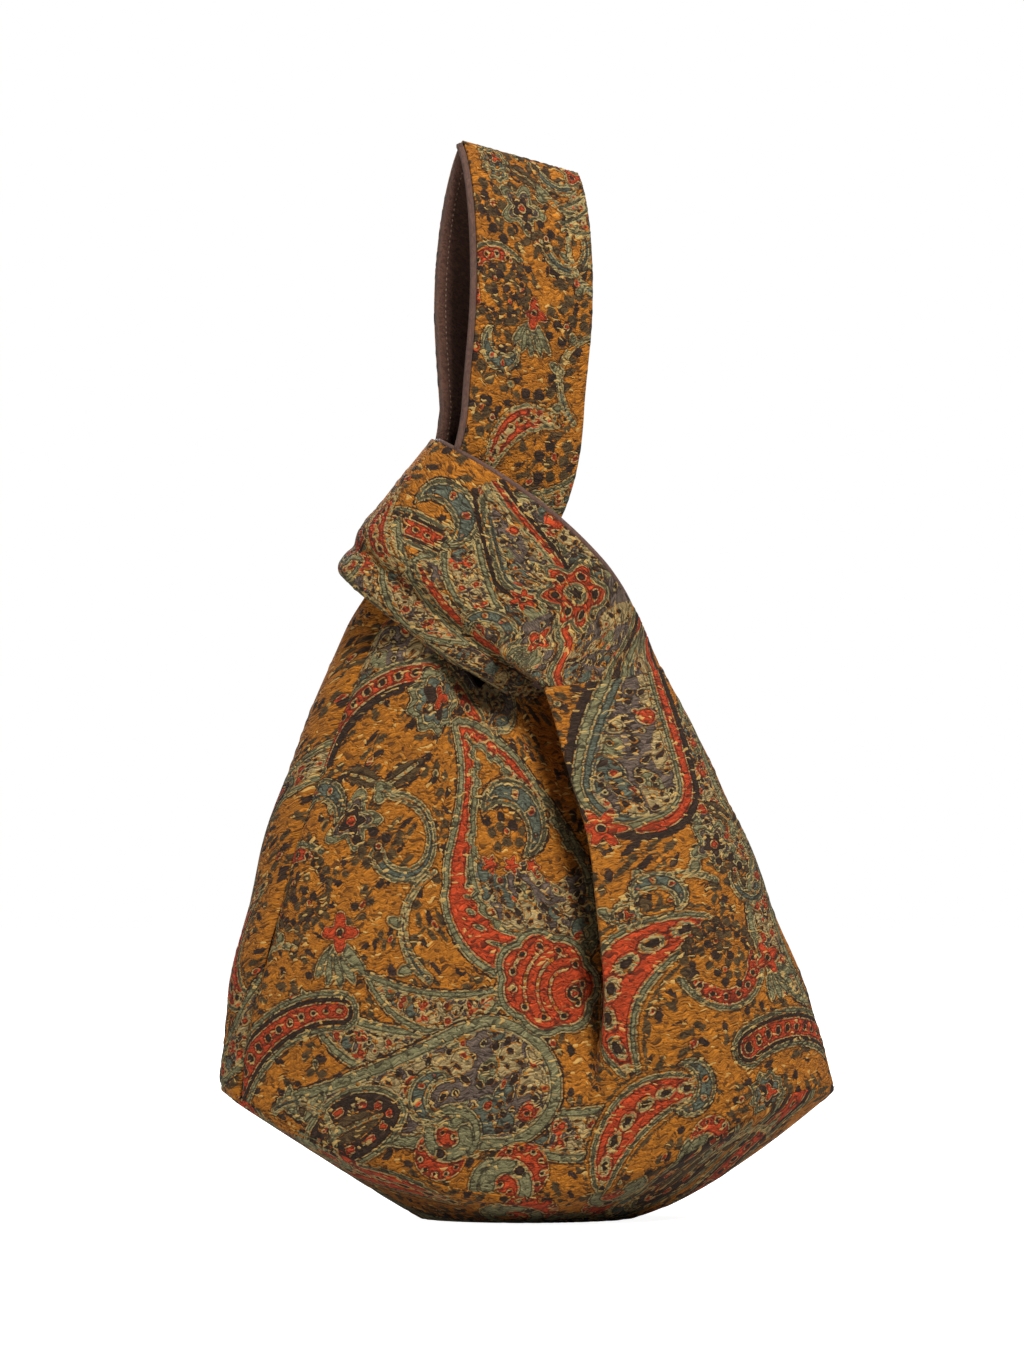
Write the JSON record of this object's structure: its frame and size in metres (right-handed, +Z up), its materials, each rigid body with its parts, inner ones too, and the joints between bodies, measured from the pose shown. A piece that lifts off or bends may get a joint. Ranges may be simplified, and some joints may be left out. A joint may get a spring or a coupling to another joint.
{
  "type": "japanese knot bag",
  "caption": "Soft sewn wrist bag of patterned tapestry cloth whose long handle loop is drawn through its short one, which grips it as a collar, closes the mouth and leaves a carrying loop.",
  "frame": {"origin": "middle of the bag's box on the surface that it stands on, under the flat patch of the base", "axes": "+Z up from base to carry loop, -Y towards the front face with the pleat, +X from the long handle's shoulder to the short handle's shoulder"},
  "size_m": [0.284, 0.14, 0.5],
  "materials": {
    "tapestry": "woven jacquard tapestry with a paisley pattern in ochre, red-orange, sage and dark brown, matt",
    "interlining": "unbleached cotton felt, matt",
    "lining": "plain dark brown cotton, matt",
    "piping": "brown corded cotton piping, matt with a slight sheen"
  },
  "bodies": {
    "bag": {"front_panel": "tapestry", "back_panel": "tapestry", "base_panel": "tapestry", "front_interlining": "interlining", "back_interlining": "interlining", "base_interlining": "interlining", "front_lining": "lining", "back_lining": "lining", "base_lining": "lining", "long_handle_front_arm_outer": "tapestry", "long_handle_back_arm_outer": "tapestry", "long_handle_front_arm_interlining": "interlining", "long_handle_back_arm_interlining": "interlining", "long_handle_front_arm_lining": "lining", "long_handle_back_arm_lining": "lining"},
    "carry_loop": {"carry_loop_outer": "tapestry", "carry_loop_interlining": "interlining", "carry_loop_lining": "lining", "carry_loop_piping_left": "piping", "carry_loop_piping_right": "piping"},
    "short_loop": {"short_loop_outer": "tapestry", "short_loop_interlining": "interlining", "short_loop_lining": "lining", "short_loop_piping_lower": "piping", "short_loop_piping_upper": "piping"}
  },
  "joints": [
    {"name": "carry_loop_fold", "type": "hinge", "parent": "bag", "child": "carry_loop", "pos_m": [-0.0035, 0, 0.382], "axis": [0.866, 0.5, 0], "range_deg": [-60, 60]},
    {"name": "short_loop_slip", "type": "slide", "parent": "bag", "child": "short_loop", "axis": [0, 0, 1], "range_m": [0, 0.012]}
  ]
}
